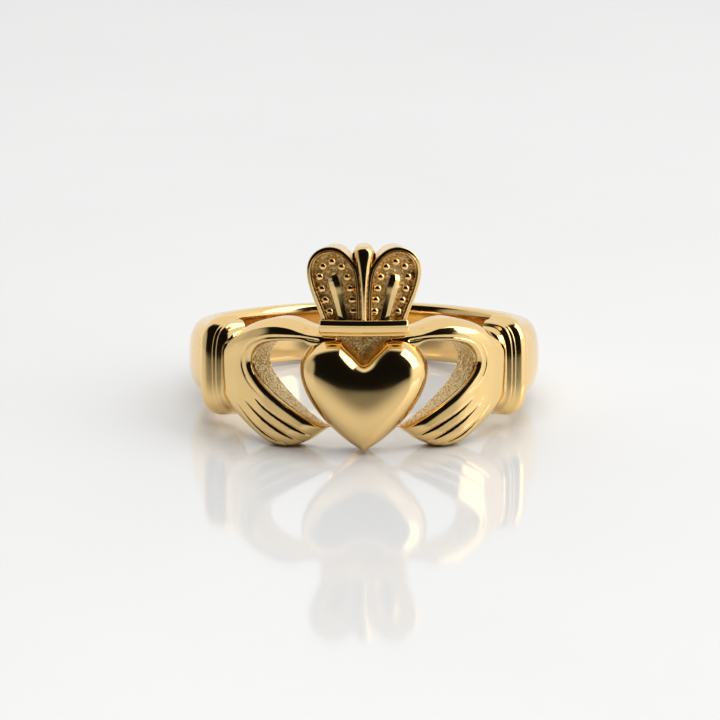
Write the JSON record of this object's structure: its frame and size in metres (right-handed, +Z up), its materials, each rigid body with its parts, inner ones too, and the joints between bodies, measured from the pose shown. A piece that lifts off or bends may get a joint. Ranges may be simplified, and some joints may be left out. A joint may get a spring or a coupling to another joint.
{
  "type": "claddagh ring",
  "caption": "Finger ring cast in one piece, with two cuffed hands holding a domed heart under a beaded crown, lying on its side.",
  "frame": {"origin": "on the surface that the ring lies on, under the middle of its box", "axes": "+Z up from the surface, -Y towards the heart's face, X across the hands"},
  "size_m": [0.0206, 0.0216, 0.0119],
  "materials": {
    "gold": "polished yellow gold, stippled in the crown's fields"
  },
  "bodies": {
    "root": {"ring": "gold"}
  },
  "joints": []
}
